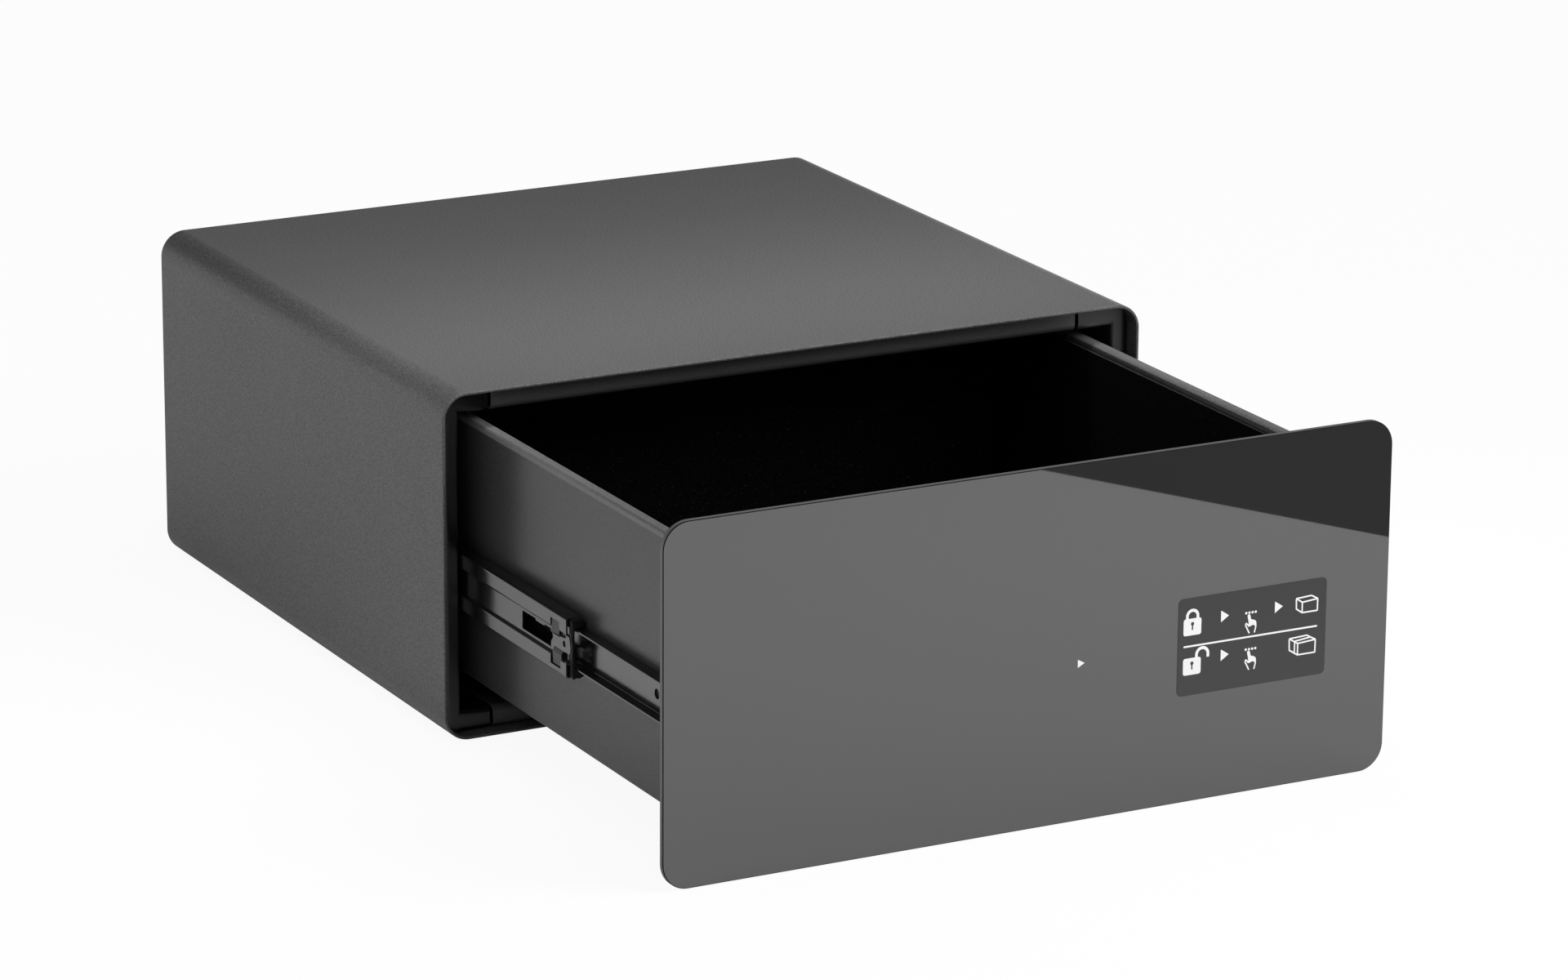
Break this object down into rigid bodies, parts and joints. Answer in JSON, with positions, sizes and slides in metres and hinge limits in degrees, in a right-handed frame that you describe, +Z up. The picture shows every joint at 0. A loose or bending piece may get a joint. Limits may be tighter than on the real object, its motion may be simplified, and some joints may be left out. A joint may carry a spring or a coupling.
{
  "type": "under desk drawer safe",
  "caption": "Grey steel drawer safe, drawer part open: dark glass front, felt-lined tray on telescopic ball slides, and a motor lock that throws round bolts up and down.",
  "frame": {"origin": "middle of the casing's flat underside, which stands on the shelf or floor", "axes": "+Z up; +Y from the front towards the casing's back, so the drawer pulls out along -Y; +X to the right as seen from the front"},
  "size_m": [0.442, 0.6683, 0.2],
  "materials": {
    "grey_powder_coat": "fine-textured satin powder coat, dark grey",
    "drawer_powder_coat": "smooth satin powder coat, dark grey",
    "dark_glass": "polished glass with a black back print",
    "black_zinc": "black zinc plating, satin",
    "bright_zinc": "clear zinc plating",
    "black_plastic": "moulded, satin",
    "black_felt": "short flock",
    "black_rubber": "matt",
    "circuit_board": "green solder mask",
    "white_foam_tape": "matt foam tape",
    "printed_label": "satin film, dark grey print with white pictograms",
    "battery_sleeve": "red shrink sleeve",
    "bronze": "sintered"
  },
  "bodies": {
    "casing": {"casing": "grey_powder_coat", "rear_panel": "grey_powder_coat", "side_frame_left": "grey_powder_coat", "side_frame_right": "grey_powder_coat", "frame_rail_top": "grey_powder_coat", "frame_rail_bottom": "grey_powder_coat", "slide_bracket_left": "bright_zinc", "slide_bracket_right": "bright_zinc", "slide_outer_left": "black_zinc", "slide_outer_right": "black_zinc", "slide_screw_left_front": "bright_zinc", "slide_screw_left_rear": "bright_zinc", "slide_screw_right_front": "bright_zinc", "slide_screw_right_rear": "bright_zinc", "rear_buffer_left": "black_rubber", "rear_buffer_right": "black_rubber"},
    "drawer": {"slide_inner_left": "black_zinc", "slide_inner_right": "black_zinc", "drawer_tray": "drawer_powder_coat", "drawer_back": "drawer_powder_coat", "drawer_front": "drawer_powder_coat", "glass_tape": "white_foam_tape", "glass_front": "dark_glass", "instruction_label": "printed_label", "felt_floor": "black_felt", "felt_left": "black_felt", "felt_right": "black_felt", "felt_back": "black_felt", "felt_front": "black_felt", "lock_housing": "drawer_powder_coat", "battery_box": "black_plastic", "battery_lower_left": "battery_sleeve", "battery_lower_right": "battery_sleeve", "battery_upper_left": "battery_sleeve", "battery_upper_right": "battery_sleeve", "battery_cover": "black_plastic", "touch_board": "circuit_board", "control_board": "circuit_board", "motor_bridge": "bright_zinc", "lock_motor": "bright_zinc", "bolt_guide_upper": "black_plastic", "bolt_guide_lower": "black_plastic"},
    "middle_member_left": {"slide_middle_left": "black_zinc", "slide_latch_left": "black_zinc", "slide_stop_left": "black_plastic"},
    "middle_member_right": {"slide_middle_right": "black_zinc", "slide_latch_right": "black_zinc", "slide_stop_right": "black_plastic"},
    "outer_cage_left": {"cage_outer_left": "bright_zinc"},
    "outer_cage_right": {"cage_outer_right": "bright_zinc"},
    "inner_cage_left": {"cage_inner_left": "bright_zinc"},
    "inner_cage_right": {"cage_inner_right": "bright_zinc"},
    "upper_bolts": {"bolt_carriage_upper": "bright_zinc", "bolt_upper_left": "bright_zinc", "bolt_upper_right": "bright_zinc"},
    "lower_bolts": {"bolt_carriage_lower": "bright_zinc", "bolt_lower_left": "bright_zinc", "bolt_lower_right": "bright_zinc"},
    "pinion": {"lock_pinion": "bronze"}
  },
  "joints": [
    {"name": "drawer_slide", "type": "slide", "parent": "casing", "child": "drawer", "axis": [0, -1, 0], "range_m": [-0.2635, 0.0865]},
    {"name": "middle_member_slide_left", "type": "slide", "parent": "casing", "child": "middle_member_left", "axis": [0, -1, 0], "range_m": [-0.13175, 0.04325]},
    {"name": "outer_cage_slide_left", "type": "slide", "parent": "casing", "child": "outer_cage_left", "axis": [0, -1, 0], "range_m": [-0.06588, 0.02162]},
    {"name": "inner_cage_slide_left", "type": "slide", "parent": "casing", "child": "inner_cage_left", "axis": [0, -1, 0], "range_m": [-0.19762, 0.06488]},
    {"name": "middle_member_slide_right", "type": "slide", "parent": "casing", "child": "middle_member_right", "axis": [0, -1, 0], "range_m": [-0.13175, 0.04325]},
    {"name": "outer_cage_slide_right", "type": "slide", "parent": "casing", "child": "outer_cage_right", "axis": [0, -1, 0], "range_m": [-0.06588, 0.02162]},
    {"name": "inner_cage_slide_right", "type": "slide", "parent": "casing", "child": "inner_cage_right", "axis": [0, -1, 0], "range_m": [-0.19762, 0.06488]},
    {"name": "upper_bolt_throw", "type": "slide", "parent": "drawer", "child": "upper_bolts", "axis": [0, 0, 1], "range_m": [0, 0.014]},
    {"name": "lower_bolt_throw", "type": "slide", "parent": "drawer", "child": "lower_bolts", "axis": [0, 0, -1], "range_m": [0, 0.014]},
    {"name": "pinion_turn", "type": "hinge", "parent": "drawer", "child": "pinion", "pos_m": [-0.075, -0.4405, 0.1], "axis": [0, -1, 0], "range_deg": [0, 91.7]}
  ],
  "couplings": [
    {"joint": "middle_member_slide_left", "follows": "drawer_slide", "ratio": 0.5},
    {"joint": "outer_cage_slide_left", "follows": "drawer_slide", "ratio": 0.25},
    {"joint": "inner_cage_slide_left", "follows": "drawer_slide", "ratio": 0.75},
    {"joint": "middle_member_slide_right", "follows": "drawer_slide", "ratio": 0.5},
    {"joint": "outer_cage_slide_right", "follows": "drawer_slide", "ratio": 0.25},
    {"joint": "inner_cage_slide_right", "follows": "drawer_slide", "ratio": 0.75},
    {"joint": "lower_bolt_throw", "follows": "upper_bolt_throw", "ratio": 1},
    {"joint": "pinion_turn", "follows": "upper_bolt_throw", "rad_per_m": 114.29}
  ]
}
